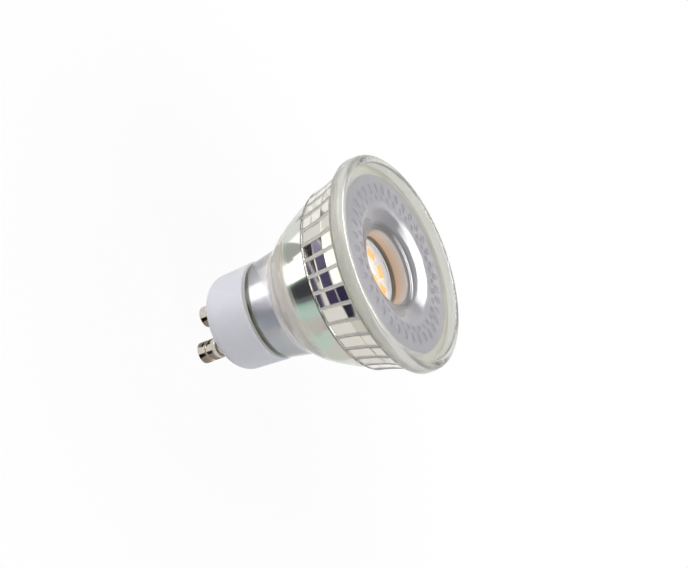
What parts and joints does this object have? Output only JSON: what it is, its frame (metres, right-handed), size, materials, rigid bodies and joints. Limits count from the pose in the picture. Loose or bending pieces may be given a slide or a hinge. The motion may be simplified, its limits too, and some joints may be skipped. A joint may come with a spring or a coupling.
{
  "type": "gu10 spotlight bulb",
  "caption": "Reflector spotlight bulb: ribbed pressed-glass body, clear collimating front lens over warm white LEDs, and a white twist-lock cap with headed contact pins.",
  "frame": {"origin": "centre of the cap's rear face, on the lamp axis and midway between the contact pins", "axes": "+Z along the lamp axis the way the light goes, X through both contact pins"},
  "size_m": [0.05, 0.05, 0.054],
  "materials": {
    "mirror_coated_glass": "pressed glass, mirror coated on the inside",
    "clear_polycarbonate": "clear polished moulding",
    "clear_silicone": "clear cured silicone",
    "white_pbt": "fine satin moulding",
    "nickel_plated_brass": "bright nickel plate",
    "white_solder_mask": "white solder mask on aluminium",
    "grey_silicone": "matt filled silicone",
    "bare_aluminium": "drawn, bare",
    "natural_polypropylene": "natural, satin",
    "green_fr4": "green solder mask",
    "black_sleeve": "shrunk PVC sleeve",
    "ferrite": "sintered, matt",
    "enamelled_copper": "enamelled winding",
    "black_epoxy": "moulded epoxy",
    "yellow_polyester": "moulded box",
    "resistor_enamel": "flameproof enamel",
    "alumina": "glazed resistive film",
    "led_phosphor": "phosphor filled silicone in a white package",
    "wire_insulation": "silicone insulated wire"
  },
  "bodies": {
    "root": {"glass_reflector": "mirror_coated_glass", "front_lens": "clear_polycarbonate", "lens_bond": "clear_silicone", "base_cap": "white_pbt", "contact_pin_1": "nickel_plated_brass", "contact_pin_2": "nickel_plated_brass", "led_board": "white_solder_mask", "thermal_pad": "grey_silicone", "heat_sink": "bare_aluminium", "insulating_sleeve": "natural_polypropylene", "driver_board": "green_fr4", "electrolytic_capacitor": "black_sleeve", "inductor_core": "ferrite", "inductor_winding": "enamelled_copper", "bridge_rectifier": "black_epoxy", "driver_chip": "black_epoxy", "film_capacitor": "yellow_polyester", "fusible_resistor": "resistor_enamel", "chip_resistor_1": "alumina", "chip_resistor_2": "alumina", "led_outer_1": "led_phosphor", "led_outer_2": "led_phosphor", "led_outer_3": "led_phosphor", "led_outer_4": "led_phosphor", "led_outer_5": "led_phosphor", "led_outer_6": "led_phosphor", "led_outer_7": "led_phosphor", "led_outer_8": "led_phosphor", "led_inner_1": "led_phosphor", "led_inner_2": "led_phosphor", "led_inner_3": "led_phosphor", "mains_lead_1": "wire_insulation", "mains_lead_2": "wire_insulation", "led_lead_1": "wire_insulation", "led_lead_2": "wire_insulation"}
  },
  "joints": []
}
